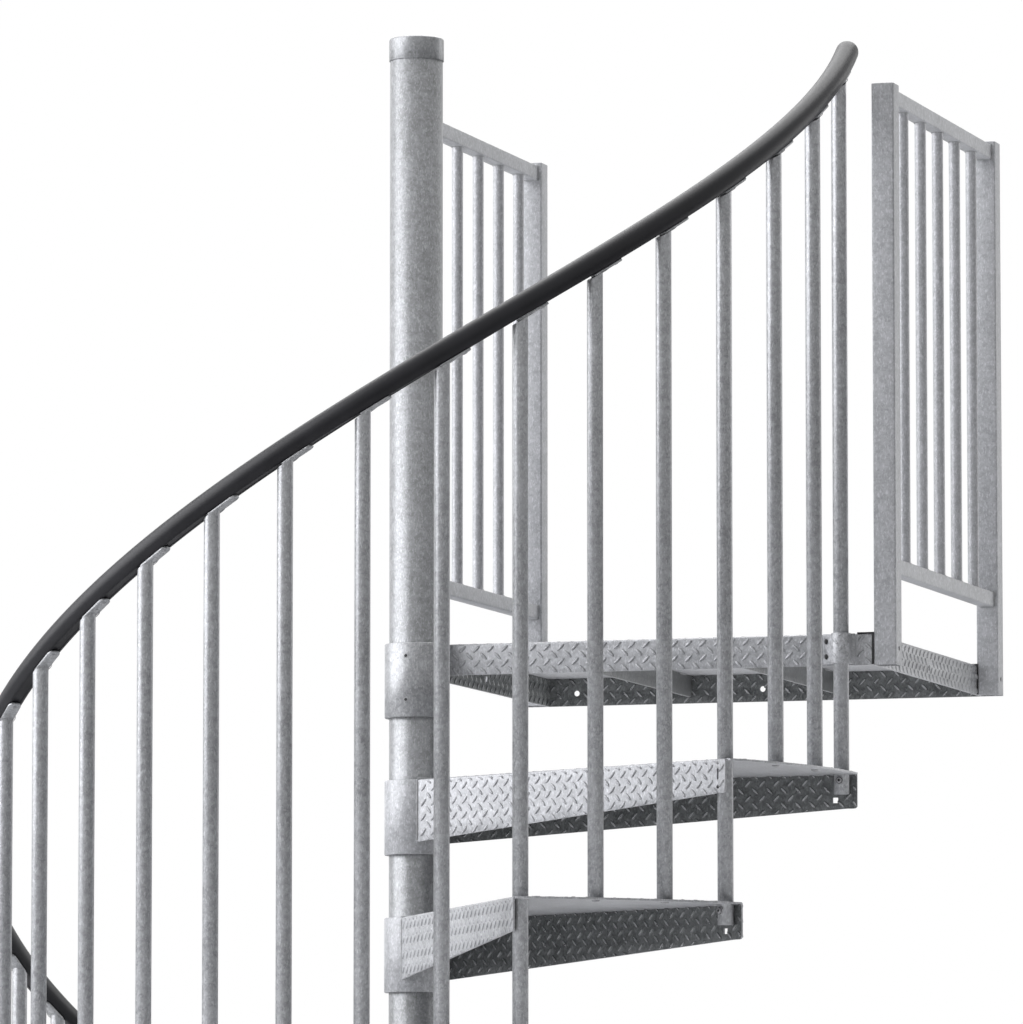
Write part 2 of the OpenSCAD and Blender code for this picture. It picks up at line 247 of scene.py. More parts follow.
def gap_material():
    """Near black: painted shade in the gaps by the guard posts and in holes, grooves and screw
    sockets; also black studs and screw heads.
    """
    material, tree, shader = new_material("near_black_painted_shade")
    place = add(tree, "TexCoord").outputs["Object"]
    tone = stretch(tree, clouds(tree, place, 3 * MM), 0.3, 0.7)
    tree.links.new(blend_colours(tree, tone, (0.012, 0.012, 0.013), (0.03, 0.03, 0.032)),
                   shader.inputs["Base Color"])
    tree.links.new(stretch(tree, tone, 0.0, 1.0, 0.6, 0.8), shader.inputs["Roughness"])
    return material


STEEL = galvanised("galvanised_tube", (0.24, 0.245, 0.25), (0.43, 0.435, 0.45))
POLE = galvanised("galvanised_pole", (0.20, 0.205, 0.205), (0.36, 0.365, 0.38))
PLATE = galvanised("galvanised_tread_plate", (0.295, 0.30, 0.31), (0.51, 0.515, 0.535), 0.16)
# Darker galvanised for the inner faces of flanges and skirts: painted shade
PAINTED_SHADE_INSIDE = galvanised("galvanised_inside_painted_shade", (0.08, 0.085, 0.085), (0.21, 0.217, 0.22), 0.2)
# Darker galvanised for the ribs' sides under the landing: painted shade
RIB_PAINTED_SHADE = galvanised("galvanised_rib_painted_shade", (0.15, 0.155, 0.155), (0.29, 0.295, 0.30), 0.2)
# Darker galvanised for the sloping sides of the raised pattern: painted shade
FLANK_PAINTED_SHADE = galvanised("galvanised_flank_painted_shade", (0.235, 0.24, 0.25), (0.42, 0.425, 0.435), 0.18)
GUARD = galvanised("galvanised_guard", (0.305, 0.31, 0.32), (0.49, 0.495, 0.515), 0.12)
WELD = galvanised("galvanised_weld", (0.26, 0.265, 0.27), (0.42, 0.425, 0.435),
                  0.3, (0.4, 0.55), 0.2)
SCREW = galvanised("plated_screw", (0.28, 0.28, 0.29), (0.42, 0.42, 0.43), 0.5, (0.3, 0.42), 0.1)
# Lighter, glossier tops of the raised pattern inside flanges and skirts: partly wear, partly
# painted highlight
CREST_WEAR_AND_HIGHLIGHT = galvanised("worn_crest_and_painted_highlight", (0.42, 0.425, 0.43), (0.60, 0.605, 0.615), 0.8, (0.25, 0.4), 0.1)
VINYL = vinyl_material()
# Near black for painted shade in gaps, holes, grooves and sockets, and for black studs and screws
BLACK_AND_PAINTED_SHADE = gap_material()


# ---------------------------------------------------------------- making meshes
SHARP = math.radians(48)            # edges that turn more are shaded as sharp
CORNER = math.radians(40)           # edges of CAD nodes that turn more are rounded


class Shape:
    """Points and faces of one piece, gathered shell by shell, with a material for each face."""

    def __init__(self, paint=None):
        """paint is the material of what is added without one."""
        self.paint = paint
        self.points = []
        self.faces = []
        self.paints = []

    def add(self, points, faces, paint=None, place=None):
        start = len(self.points)
        self.points += [place @ Vector(p) if place else Vector(p) for p in points]
        self.faces += [tuple(start + i for i in face) for face in faces]
        self.paints += [paint or self.paint] * len(faces)

    def loft(self, rings, paint=None, place=None, ends=True, loop=False):
        """Joins rings of equally many points. ends closes the first and last, loop joins them."""
        n = len(rings[0])
        points = [p for ring in rings for p in ring]
        faces = []
        for i in range(len(rings) if loop else len(rings) - 1):
            a, b = i * n, (i + 1) % len(rings) * n
            faces += [(a + j, a + (j + 1) % n, b + (j + 1) % n, b + j) for j in range(n)]
        if ends and not loop:
            faces += [tuple(range(n - 1, -1, -1)), tuple(range(len(points) - n, len(points)))]
        self.add(points, faces, paint, place)

    def lathe(self, profile, sides, paint=None, place=None, loop=False):
        """Turns a profile of (radius, height) round the z axis."""
        self.loft([circle(r, sides, z) for r, z in profile], paint, place, not loop, loop)

    def bead(self, path, radius, seed, place=None, closed=False):
        """A run of weld along a path: a thin rope whose thickness ripples."""
        draw = random.Random(seed)
        sides, n = 6, len(path)
        path = [Vector(p) for p in path]
        rings = []
        for i, p in enumerate(path):
            ahead = path[(i + 1) % n] if closed or i < n - 1 else p
            behind = path[i - 1] if closed or i > 0 else p
            along = (ahead - behind).normalized()
            side = along.orthogonal() if abs(along.z) > 0.9 else along.cross((0, 0, 1))
            side.normalize()
            up = side.cross(along)
            r = radius * (0.92 + 0.12 * (i % 2) + draw.uniform(-0.06, 0.06))
            rings.append([p + x * side + y * up for x, y, _ in circle(r, sides)])
        self.loft(rings, WELD, place, not closed, closed)

    def merge(self, other, place=None):
        start = len(self.points)
        self.points += [place @ p if place else p.copy() for p in other.points]
        self.faces += [tuple(start + i for i in face) for face in other.faces]
        self.paints += other.paints

    def merge_mesh(self, mesh):
        self.add([v.co for v in mesh.vertices], [tuple(f.vertices) for f in mesh.polygons])


def mesh_of(shape, name):
    mesh = bpy.data.meshes.new(name)
    mesh.from_pydata(shape.points, [], shape.faces)
    slots = [material for material in dict.fromkeys(shape.paints) if material]
    for material in slots:
        mesh.materials.append(material)
    if slots:
        mesh.polygons.foreach_set("material_index", [slots.index(paint) for paint in shape.paints])
    bm = bmesh.new()
    bm.from_mesh(mesh)
    bmesh.ops.recalc_face_normals(bm, faces=bm.faces)
    for face in bm.faces:
        face.smooth = True
    for edge in bm.edges:
        edge.smooth = len(edge.link_faces) == 2 and edge.calc_face_angle(0.0) < SHARP
    bm.to_mesh(mesh)
    bm.free()
    return mesh


def linked(name, data):
    obj = bpy.data.objects.new(name, data)
    bpy.context.scene.collection.objects.link(obj)
    return obj


def piece(shape, name, node):
    """Turns a shape into a piece that rides on the stair and stands for the CAD node."""
    obj = linked(name, mesh_of(shape, name))
    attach(obj, "root")
    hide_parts(node)


def modified(shape, *modifiers):
    """The shape's mesh after modifiers, each given as (kind, settings)."""
    obj = linked("work", mesh_of(shape, "work"))
    for kind, settings in modifiers:
        modifier = obj.modifiers.new(kind.lower(), kind)
        for name, value in settings.items():
            setattr(modifier, name, value)
    bpy.context.view_layer.update()
    mesh = bpy.data.meshes.new_from_object(obj.evaluated_get(bpy.context.evaluated_depsgraph_get()))
    bpy.data.objects.remove(obj)
    return mesh


def softened(node, soft, bend=None):
    """A copy of a CAD node's mesh with its edges rounded, and those that bend() picks more so."""
    bm = bmesh.new()
    bm.from_mesh(frame["nodes"][node].data)
    bmesh.ops.remove_doubles(bm, verts=bm.verts, dist=0.01 * MM)
    bmesh.ops.dissolve_limit(bm, angle_limit=math.radians(1), verts=bm.verts, edges=bm.edges)

    def bevel(edges, offset, segments):
        bmesh.ops.bevel(bm, geom=edges, offset=offset, segments=segments, profile=0.5,
                        affect="EDGES", clamp_overlap=True)

    if bend:
        bevel([e for e in bm.edges if bend(*(v.co for v in e.verts))], BEND_R, 4)
    corners = [e for e in bm.edges if len(e.link_faces) == 2 and e.calc_face_angle(0.0) > CORNER]
    bevel(corners, soft, 2)
    mesh = bpy.data.meshes.new("softened")
    bm.to_mesh(mesh)
    bm.free()
    return mesh


def along_z(axis, at):
    """The placing that turns +z to an axis and moves the origin to a point."""
    return Matrix.Translation(at) @ Vector(axis).to_track_quat("Z", "Y").to_matrix().to_4x4()


def circle(r, sides, z=0.0):
    return [polar(r, TAU * i / sides, z) for i in range(sides)]


def rounded_square(half, radius, z, steps=4):
    points = []
    for quarter in range(4):
        middle = TAU * (quarter + 0.5) / 4
        cx = math.copysign(half - radius, math.cos(middle))
        cy = math.copysign(half - radius, math.sin(middle))
        for i in range(steps + 1):
            a = TAU / 4 * (quarter + i / steps)
            points.append((cx + radius * math.cos(a), cy + radius * math.sin(a), z))
    return points


def button_screw(shape, axis, at, r, h, head, socket):
    """A round headed screw, with the paints of its head and its socket."""
    place = along_z(axis, at)
    dome = ((1, 0), (1, 0.25), (0.93, 0.55), (0.78, 0.82), (0.55, 1), (0.46, 1), (0.44, 0.9))
    shape.lathe([(share_r * r, share_h * h) for share_r, share_h in dome], 20, head, place)
    shape.lathe([(0.42 * r, 0.88 * h), (0.42 * r, 0.91 * h)], 6, socket, place)


def flanged_bolt(shape, axis, at):
    """A domed bolt head inside a wide rim, with painted shade in the groove between them and in its
    socket.
    """
    place = along_z(axis, at)
    shape.lathe(in_mm((7, 0), (7, 1.6), (6.5, 2.1), (5.7, 2.1)), 28, SCREW, place)
    shape.lathe(in_mm((5.7, 1.5), (5.7, 2.15)), 28, BLACK_AND_PAINTED_SHADE, place)
    shape.lathe(in_mm((4.7, 1.5), (4.7, 3.0), (4.1, 3.8), (2.6, 4.1)), 28, SCREW, place)
    shape.lathe(in_mm((2.4, 3.6), (2.4, 4.15)), 6, BLACK_AND_PAINTED_SHADE, place)


def hex_nut(shape, axis, at, r, h):
    """A chamfered hexagon on a washer, with a bolt's end in it."""
    place = along_z(axis, at)
    washer = ((1.45, 0), (1.5, 0.04), (1.5, 0.16), (1.45, 0.2))
    shape.lathe([(a * r, b * r) for a, b in washer], 32, SCREW, place)
    rings = []
    for share, z in ((0.9, 0.2 * r), (1.0, 0.28 * r), (1.0, h - 0.12 * r), (0.86, h)):
        rings.append([(share * x, share * y, z) for x, y, _ in circle(r, 6)])
    shape.loft(rings, SCREW, place)
    end = [(0.5 * r, 0.9 * h), (0.5 * r, h + 0.45 * r), (0.44 * r, h + 0.55 * r)]
    shape.lathe(end, 16, SCREW, place)


def dark_stud(shape, axis, at):
    """A low oval head, taller than wide once its axis is level."""
    half_w, half_h = 2.7 * MM, 4.5 * MM
    rings = []
    for share, z in ((1.0, 0.0), (1.0, 0.7 * MM), (0.7, 1.2 * MM)):
        rings.append([(half_w * share * x, half_h * share * y, z) for x, y, _ in circle(1, 24)])
    shape.loft(rings, BLACK_AND_PAINTED_SHADE, along_z(axis, at))


# ---------------------------------------------------------------- the raised pattern
def lozenge_places(extent, clamp, blocked, shift):
    """Centre and lean of each lozenge of the pattern that lies free on a flat stretch."""
    x0, x1, y0, y1 = extent
    for i in range(int((x0 - shift[0]) / PATTERN) - 1, int((x1 - shift[0]) / PATTERN) + 2):
        for j in range(int((y0 - shift[1]) / PATTERN) - 1, int((y1 - shift[1]) / PATTERN) + 2):
            for half, lean in ((0.0, TAU / 8), (0.5, -TAU / 8)):
                centre = ((i + half) * PATTERN + shift[0], (j + half) * PATTERN + shift[1])
                if math.dist(clamp(*centre), centre) > LOZENGE_W / 2:
                    continue
                if all(math.dist(centre, hole[:2]) >= hole[2] for hole in blocked):
                    yield *centre, lean


def lozenges(shape, place, extent, clamp, blocked, side, crest, shift=(0.0, 0.0), tall=LOZENGE_H):
    """Fills a flat stretch with the pattern. extent is (x0, x1, y0, y1), and clamp() moves a point
    to the nearest one on the stretch. blocked holds circles (x, y, r) to keep clear. side and
    crest are a lozenge's two paints."""
    sides = 8
    for cx, cy, lean in lozenge_places(extent, clamp, blocked, shift):
        points = []
        for share_l, share_w, height in ((1.0, 1.0, -SUNK), (0.74, 0.44, tall)):
            for x, y, _ in circle(1, sides):
                u, v = share_l * LOZENGE_L / 2 * x, share_w * LOZENGE_W / 2 * y
                x, y = clamp(cx + u * math.cos(lean) - v * math.sin(lean),
                             cy + u * math.sin(lean) + v * math.cos(lean))
                points.append((x, y, height))
        faces = [(n, (n + 1) % sides, sides + (n + 1) % sides, sides + n) for n in range(sides)]
        faces.append(tuple(range(sides, 2 * sides)))
        shape.add(points, faces, side, place)
        shape.paints[-1] = crest


# ---------------------------------------------------------------- treads
def flange_depth(u, end, end_h):
    """Depth of a flange at a distance u out along it."""
    slope_end = end - LEVEL
    if u < slope_end:
        return FLANGE_H_HUB + (end_h - FLANGE_H_HUB) * (u - HUB_R) / (slope_end - HUB_R)
    over = max(0.0, u - (end - CORNER_R))
    return end_h - CORNER_R + math.sqrt(max(0.0, CORNER_R ** 2 - over ** 2))


LINE = Vector((math.cos(FLANGE_LEAN), math.sin(FLANGE_LEAN), 0))
INWARD = Vector((-math.sin(FLANGE_LEAN), math.cos(FLANGE_LEAN), 0))
FOOT = Vector((0, -FLANGE_SET, 0))
TO_FRONT = Matrix.Identity(4)
TO_BACK = Matrix.Rotation(TURN, 4, "Z") @ Matrix.Scale(-1, 4, (0, 1, 0))
FLANGES = ((FRONT_END, FRONT_H, TO_FRONT), (BACK_END, BACK_H, TO_BACK))
TO_INSIDE = Matrix.Translation((0, 0, -PLATE_T)) @ Matrix.Scale(-1, 4, (0, 0, 1))


def reach(r, aside):
    """How far out along the flange a point lies, r from the axis and aside inside its face."""
    start = FOOT + aside * INWARD
    half = start.dot(LINE)
    return -half + math.sqrt(half ** 2 - start.length_squared + r ** 2)


def tread_sheet():
    """The outer skin of the bent plate: back and front flanges, bends and the top between them."""
    first, last = reach(HUB_R - 2 * MM, BEND_R), reach(TREAD_R, BEND_R)
    stations = {first, HUB_R, last}
    stations |= {first + (last - first) * i / 16 for i in range(1, 16)}
    for end in (FRONT_END, BACK_END):
        corner = {end - CORNER_R * (1 - math.sin(TAU / 16 * i)) for i in range(5)}
        stations |= corner | {end - LEVEL}
    stations = sorted(s for s in stations if s <= last)
    drops, bends, across = 4, 4, 12     # faces down a flange, round a bend and across the top
    shape = Shape()
    rows = []
    for u in stations:
        edges = []
        for end, end_h, turn in FLANGES:
            at = FOOT + u * LINE
            depth = flange_depth(min(u, end), end, end_h)
            side = [at + Vector((0, 0, (depth - BEND_R) * i / drops - depth))
                    for i in range(drops)]
            for i in range(bends + 1):
                a = TAU / 4 * i / bends
                down = Vector((0, 0, BEND_R * (1 - math.sin(a))))
                side.append(at + BEND_R * (1 - math.cos(a)) * INWARD - down)
            whole = u <= end + 1e-7
            edges.append([(turn @ p, whole or i == len(side) - 1) for i, p in enumerate(side)])
        front, back = edges
        a = front[-1][0]
        r, start = a.length, math.atan2(a.y, a.x)
        middle = [(Vector(polar(r, start + (TURN - 2 * start) * i / across)), True)
                  for i in range(1, across)]
        rows.append(front + middle + back[::-1])
    n = len(rows[0])
    points = [p for row in rows for p, _ in row]
    whole = [w for row in rows for _, w in row]
    faces = []
    for i in range(len(rows) - 1):
        for j in range(n - 1):
            corners = (i * n + j, i * n + j + 1, (i + 1) * n + j + 1, (i + 1) * n + j)
            if all(whole[c] for c in corners):
                faces.append(corners)
    used = sorted({c for face in faces for c in face})
    order = {c: i for i, c in enumerate(used)}
    shape.add([points[c] for c in used], [tuple(order[c] for c in face) for face in faces])
    return shape


def flange_place(out, up):
    """Placing on the front flange's outer face: x out along it, y up, z off the face."""
    at = FOOT + out * LINE + Vector((0, 0, up))
    return Matrix.Translation(at) @ Matrix((LINE, (0, 0, 1), -INWARD)).transposed().to_4x4()


def tread_cutters():
    """What is cut out of the plate: baluster holes, adjusting slot, pilot hole and square hole."""
    shape = Shape()
    hole_r, deep = TUBE_R + 0.2 * MM, 9 * MM
    for turn in (0, TURN):
        place = Matrix.Translation(polar(CIRCLE_R, turn, -6 * MM))
        shape.lathe([(hole_r, 0), (hole_r, 12 * MM)], 48, None, place)
    place = flange_place(CIRCLE_R, SLOT_UP - FRONT_H)
    slot = [(x, y + (SLOT_HALF if i <= 8 else -SLOT_HALF))
            for i, (x, y, _) in enumerate(circle(SLOT_R, 16))]
    shape.loft([[(x, y, z) for x, y in slot] for z in (-deep, deep)], None, place)
    place = flange_place(CIRCLE_R, PILOT_UP - FRONT_H)
    shape.loft([circle(PILOT_R, 16, z) for z in (-deep, deep)], None, place)
    place = TO_BACK @ flange_place(CIRCLE_R - SQUARE_INSET, SQUARE_UP - BACK_H)
    shape.loft([rounded_square(4.5 * MM, 0.6 * MM, z, 2) for z in (-deep, deep)], None, place)
    return linked("cutter", mesh_of(shape, "cutter"))


def tread_plate():
    """The bent plate with its thickness, its holes and slightly rounded edges."""
    holes = tread_cutters()
    mesh = modified(
        tread_sheet(),
        ("SOLIDIFY", {"thickness": PLATE_T, "offset": -1, "use_even_offset": True}),
        ("BOOLEAN", {"operation": "DIFFERENCE", "solver": "EXACT", "object": holes}),
        ("BEVEL", {"width": 0.5 * MM, "segments": 2, "limit_method": "ANGLE",
                   "angle_limit": math.radians(50)}),
    )
    bpy.data.objects.remove(holes)
    return mesh


def top_clamp(x, y):
    """The nearest point on a tread's top, clear of its bends, its rim and its hub."""
    p = Vector((x, y, 0))
    edge = BEND_R + 3 * MM
    for turn in (TO_FRONT, TO_BACK):
        local = turn.inverted() @ p
        short = edge - (local - FOOT).dot(INWARD)
        if short > 0:
            p = turn @ (local + short * INWARD)
    r = min(max(p.length, HUB_R + 4 * MM), TREAD_R - 1 * MM)
    p = p.normalized() * r
    return p.x, p.y


def flange_clamp(end, end_h):
    def clamp(x, y):
        x = min(max(x, HUB_R - 4 * MM), end - 1 * MM)
        return x, min(max(y, 1 * MM - flange_depth(x, end, end_h)), -BEND_R)
    return clamp


def hub(shape, low, high):
    """A sleeve round the pole, with its outer edges softened."""
    soft = 1.2 * MM
    shape.lathe([(HUB_BORE_R, low), (HUB_R - soft, low), (HUB_R, low + soft), (HUB_R, high - soft),
                 (HUB_R - soft, high), (HUB_BORE_R, high)], 64, loop=True)


def tread_shape():
    """One tread in its own frame: its front baluster on the x axis, its top at z = 0."""
    shape = Shape(PLATE)
    mesh = tread_plate()
    shape.merge_mesh(mesh)
    for i, face in enumerate(mesh.polygons):    # paints the flanges' inner faces darker: painted shade
        if face.center.z < -PLATE_T - 1 * MM:
            for turn in (TO_FRONT, TO_BACK):
                inside = (turn.inverted() @ face.center - FOOT).dot(INWARD)
                facing = (turn.inverted().to_3x3() @ face.normal).dot(INWARD)
                if 2 * MM < inside < 6 * MM and facing > 0.5:
                    shape.paints[i] = PAINTED_SHADE_INSIDE
    hub(shape, -HUB_H, 0)
    # Pattern on the top and on both sides of each flange
    holes = [polar(CIRCLE_R, i * TURN / SPACES, TUBE_R + 7 * MM) for i in range(SPACES + 1)]
    middle = Matrix.Rotation(TURN / 2, 4, "Z")

    def turned_clamp(x, y):
        p = middle @ Vector((x, y, 0))
        q = middle.inverted() @ Vector((*top_clamp(p.x, p.y), 0))
        return q.x, q.y

    turned_holes = [(*(middle.inverted() @ Vector((x, y, 0))).xy, r) for x, y, r in holes]
    half_w = TREAD_R * math.sin(TURN / 2) + FLANGE_SET      # a little more than the tread's
    extent = (HUB_R, TREAD_R, -half_w, half_w)
    # The pattern's sides are painted darker than its tops: painted shade
    lozenges(shape, middle, extent, turned_clamp, turned_holes, FLANK_PAINTED_SHADE, PLATE, tall=TOP_LOZENGE_H)
    slot = ((CIRCLE_R, SLOT_UP - FRONT_H, 12 * MM), (CIRCLE_R, PILOT_UP - FRONT_H, 8 * MM))
    square = ((CIRCLE_R - SQUARE_INSET, SQUARE_UP - BACK_H, 11 * MM),
              (CIRCLE_R - 2 * MM, -14 * MM, 16 * MM))
    for (end, end_h, turn), blocked in zip(FLANGES, (slot, square)):
        extent = (HUB_R, end, -FLANGE_H_HUB, 0)
        clamp = flange_clamp(end, end_h)
        place = turn @ flange_place(0, 0)
        shift = (6 * MM, -15 * MM)
        # The pattern's sides are painted darker than its tops: painted shade
        lozenges(shape, place, extent, clamp, blocked, FLANK_PAINTED_SHADE, PLATE, shift)
        # Inside, the pattern's sides take the painted shade and its tops a painted highlight
        lozenges(shape, place @ TO_INSIDE, extent, clamp, blocked, PAINTED_SHADE_INSIDE, CREST_WEAR_AND_HIGHLIGHT, shift)
    return shape


def tread_welds(shape):
    """Welds between the sleeve, the plate and the flanges."""
    corner = FOOT + reach(HUB_R, 0) * LINE
    start = math.atan2(corner.y, corner.x)
    for z, r in ((1.2 * MM, 2.2 * MM), (-PLATE_T - 1.2 * MM, 2.4 * MM)):
        steps = 26
        arc = [polar(HUB_R, start + (TURN - 2 * start) * i / steps, z) for i in range(steps + 1)]
        shape.bead(arc, r, 3)
    for turn in (TO_FRONT, TO_BACK):
        foot = corner + 0.5 * MM * LINE
        length, steps = FLANGE_H_HUB - BEND_R - 2 * MM, 30
        run = [turn @ (foot + Vector((0, 0, -BEND_R - length * i / steps)))
               for i in range(steps + 1)]
        shape.bead(run, 2.0 * MM, 5)


def tread_fasteners(shape):
    """Screws under the short balusters, the long baluster's bolt, and the sleeve's set screws."""
    for i in range(1, SPACES):
        at = polar(CIRCLE_R, i * TURN / SPACES, -PLATE_T)
        # The sockets are painted dark: painted shade
        button_screw(shape, (0, 0, -1), at, 6.5 * MM, 3 * MM, SCREW, BLACK_AND_PAINTED_SHADE)
    off_face = (TO_BACK @ flange_place(0, 0)).to_3x3().col[2]
    at = Vector(polar(CIRCLE_R, TURN, -BOLT_DROP))
    flanged_bolt(shape, -off_face, at - (TUBE_R - 0.6 * MM) * off_face)
    hex_nut(shape, off_face, at + FLANGE_END_SET * off_face, 7 * MM, 5.5 * MM)
    # Dark backings of the slot and the pilot hole: painted shade seen through them
    for up, w, h in ((SLOT_UP, SLOT_R + 0.2 * MM, SLOT_R + SLOT_HALF + 0.2 * MM),
                     (PILOT_UP, PILOT_R + 0.1 * MM, PILOT_R + 0.1 * MM)):
        rings = [[(-w, -h, z), (w, -h, z), (w, h, z), (-w, h, z)]
                 for z in (0.2 * MM - PLATE_T, -0.2 * MM - PLATE_T)]
        shape.loft(rings, BLACK_AND_PAINTED_SHADE, flange_place(CIRCLE_R, up - FRONT_H))
    for share in SET_SCREWS:
        set_screw(shape, TURN / 2 + math.pi, -share * HUB_H)


def set_screw(shape, turn, z):
    """A socket set screw, a little sunk in a hub."""
    out = Vector(polar(1, turn))
    place = along_z(out, out * (HUB_R - 0.4 * MM) + Vector((0, 0, z)))
    shape.lathe(in_mm((4, 0), (3.6, 0.8), (2.4, 0.9), (2.2, 0.7)), 20, SCREW, place)
    # Its socket is painted dark: painted shade
    shape.lathe(in_mm((2.6, 0.1), (2.6, 0.95)), 12, BLACK_AND_PAINTED_SHADE, place)


def treads():
    shape = tread_shape()
    tread_welds(shape)
    tread_fasteners(shape)
    for k, node in enumerate(TREADS, 1):
        placed = Shape()
        turned = Matrix.Rotation(tread_angle(k), 4, "Z")
        placed.merge(shape, Matrix.Translation((0, 0, tread_top(k))) @ turned)
        piece(placed, f"stair_{node}", node)


# ---------------------------------------------------------------- balusters
def baluster(shape, turn, bottom):
    """A tube whose top is cut to the handrail's slope under a tongue with a round end."""
    sides = 40
    under = RAIL_FLAT + TONGUE_GAP + TONGUE_T
    top = rail_z(turn)
    place = Matrix.Rotation(turn, 4, "Z") @ Matrix.Translation((CIRCLE_R, 0, 0))
    inner_r, soft, depth = TUBE_R - TUBE_WALL, 0.5 * MM, 45 * MM

    def cut(r):
        """A ring at the sloping cut. The tube's axis is at the origin and +y is uphill."""
        drop = under / math.cos(RAIL_SLOPE)
        return [(x, y, top - drop + y * math.tan(RAIL_SLOPE)) for x, y, _ in circle(r, sides)]

    rings = [circle(inner_r, sides, bottom + depth), circle(inner_r, sides, bottom + soft),
             circle(inner_r + soft, sides, bottom), circle(TUBE_R - soft, sides, bottom),
             circle(TUBE_R, sides, bottom + soft), cut(TUBE_R)]
    shape.loft(rings, None, place)
    # Tongue, seen square on: x across it, y uphill along it
    half, round_r, back = TONGUE_W / 2, 9 * MM, TUBE_R / math.cos(RAIL_SLOPE)
    low_r = 4 * MM
    outline = []
    for cx, cy, r, start in ((half - round_r, TONGUE_L - round_r, round_r, 0),
                             (round_r - half, TONGUE_L - round_r, round_r, 1),
                             (low_r - half, low_r - back, low_r, 2),
                             (half - low_r, low_r - back, low_r, 3)):
        for i in range(7):
            x, y, _ = polar(r, TAU / 4 * (start + i / 6))
            outline.append((cx + x, cy + y))
    soft = 0.6 * MM
    levels = ((soft, 0.0), (0.0, soft), (0.0, TONGUE_T - soft), (soft, TONGUE_T))
    rings = []
    for inset, z in levels:
        rings.append([(x * (1 - inset / half), y - math.copysign(inset, y), z - under)
                      for x, y in outline])
    tilt = place @ Matrix.Translation((0, 0, top)) @ Matrix.Rotation(RAIL_SLOPE, 4, "X")
    shape.loft(rings, None, tilt)
    # Weld between them, and the screw that holds the tongue to the handrail
    ring = [(x, y / math.cos(RAIL_SLOPE), -under) for x, y, _ in circle(TUBE_R - 0.4 * MM, 48)]
    shape.bead(ring, 0.6 * MM, 7, tilt, True)
    at = tilt @ Vector((0, TONGUE_L - 11 * MM, -under))
    down = tilt.to_3x3() @ Vector((0, 0, -1))
    button_screw(shape, down, at, 4.2 * MM, 1.5 * MM, SCREW, SCREW)


def balusters():
    for k in range(1, len(TREADS) + 1):
        shape = Shape(STEEL)
        baluster(shape, tread_angle(k), 0.0 if k == 1 else tread_top(k - 1) - TUBE_DROP)
        for i in range(1, SPACES):
            baluster(shape, tread_angle(k) + i * TURN / SPACES, tread_top(k))
        piece(shape, f"tubes_of_tread_{k:02d}", f"balusters_{k:02d}")
    shape = Shape(STEEL)
    baluster(shape, 0.0, tread_top(len(TREADS)) - TUBE_DROP)
    piece(shape, "tube_at_landing", "landing_baluster")


# ---------------------------------------------------------------- handrail
def rail_outline():
    """The cladding's outline: round, with a shallow recess in its flat underside."""
    steps = 44
    edge = math.asin(RAIL_FLAT / RAIL_R)
    points = [polar(RAIL_R, -edge + (math.pi + 2 * edge) * i / steps)[:2] for i in range(steps + 1)]
    half_w, deep, slant = 7.6 * MM, 0.9 * MM, 0.5 * MM
    points += [(-half_w, -RAIL_FLAT), (-half_w + slant, -RAIL_FLAT + deep),
               (half_w - slant, -RAIL_FLAT + deep), (half_w, -RAIL_FLAT)]
    return points


def handrail():
    start, end = tread_angle(1) - RAIL_OVERRUN, RAIL_OVERRUN
    dome = RAIL_R * math.cos(RAIL_SLOPE) / CIRCLE_R
    rounding = [(dome * (1 - math.sin(a)), math.cos(a))
                for a in (math.radians(degrees) for degrees in (88, 75, 60, 45, 30, 15))]
    stations = [(start + back, full) for back, full in rounding]
    count = 360
    between = end - start - 2 * dome
    stations += [(start + dome + between * i / count, 1.0) for i in range(count + 1)]
    stations += [(end - back, full) for back, full in reversed(rounding)]
    outline = rail_outline()
    rings = []
    for turn, full in stations:
        ring = []
        for x, y in outline:
            r, v = CIRCLE_R + x * full, y * full
            ring.append((r * math.cos(turn) + v * math.sin(turn) * math.sin(RAIL_SLOPE),
                         r * math.sin(turn) - v * math.cos(turn) * math.sin(RAIL_SLOPE),
                         rail_z(turn) + v * math.cos(RAIL_SLOPE)))
        rings.append(ring)
    shape = Shape(VINYL)
    shape.loft(rings)
    piece(shape, "clad_handrail", "handrail")


# ---------------------------------------------------------------- pole, cap and base
def pole():
    wall, soft = 5.5 * MM, 0.8 * MM
    shape = Shape(POLE)
    shape.lathe([(POLE_R - wall, pole_low.z), (POLE_R, pole_low.z), (POLE_R, pole_high.z - soft),
                 (POLE_R - soft, pole_high.z), (POLE_R - wall, pole_high.z)], 96, loop=True)
    shape.bead(circle(POLE_R + 1 * MM, 120, pole_low.z + 1.5 * MM), 3.2 * MM, 11, closed=True)
    piece(shape, "pole_tube", "centre_pole")
    shape = Shape(POLE)
    outer, inner, edge = cap_high.x, HUB_BORE_R, 3.5 * MM
    profile = [(inner - 1 * MM, cap_high.z - 2 * MM), (inner, cap_high.z - 3 * MM),
               (inner, cap_low.z), (outer - 0.3 * MM, cap_low.z), (outer, cap_low.z + 0.4 * MM)]
    for i in range(7):
        a = TAU / 4 * i / 6
        profile.append((outer - edge * (1 - math.cos(a)), cap_high.z - edge * (1 - math.sin(a))))
    shape.lathe(profile, 96)
    piece(shape, "pole_end_cap", "pole_cap")


def base():
    shape = Shape(STEEL)
    shape.merge_mesh(softened("base_plate", 1.2 * MM))
    anchor = 120 * MM       # from the pole's axis to the anchor bolts, along x and along y
    for x in (-anchor, anchor):
        for y in (-anchor, anchor):
            hex_nut(shape, (0, 0, 1), (x, y, base_high.z), 12 * MM, 13 * MM)
    piece(shape, "foot_plate", "base_plate")


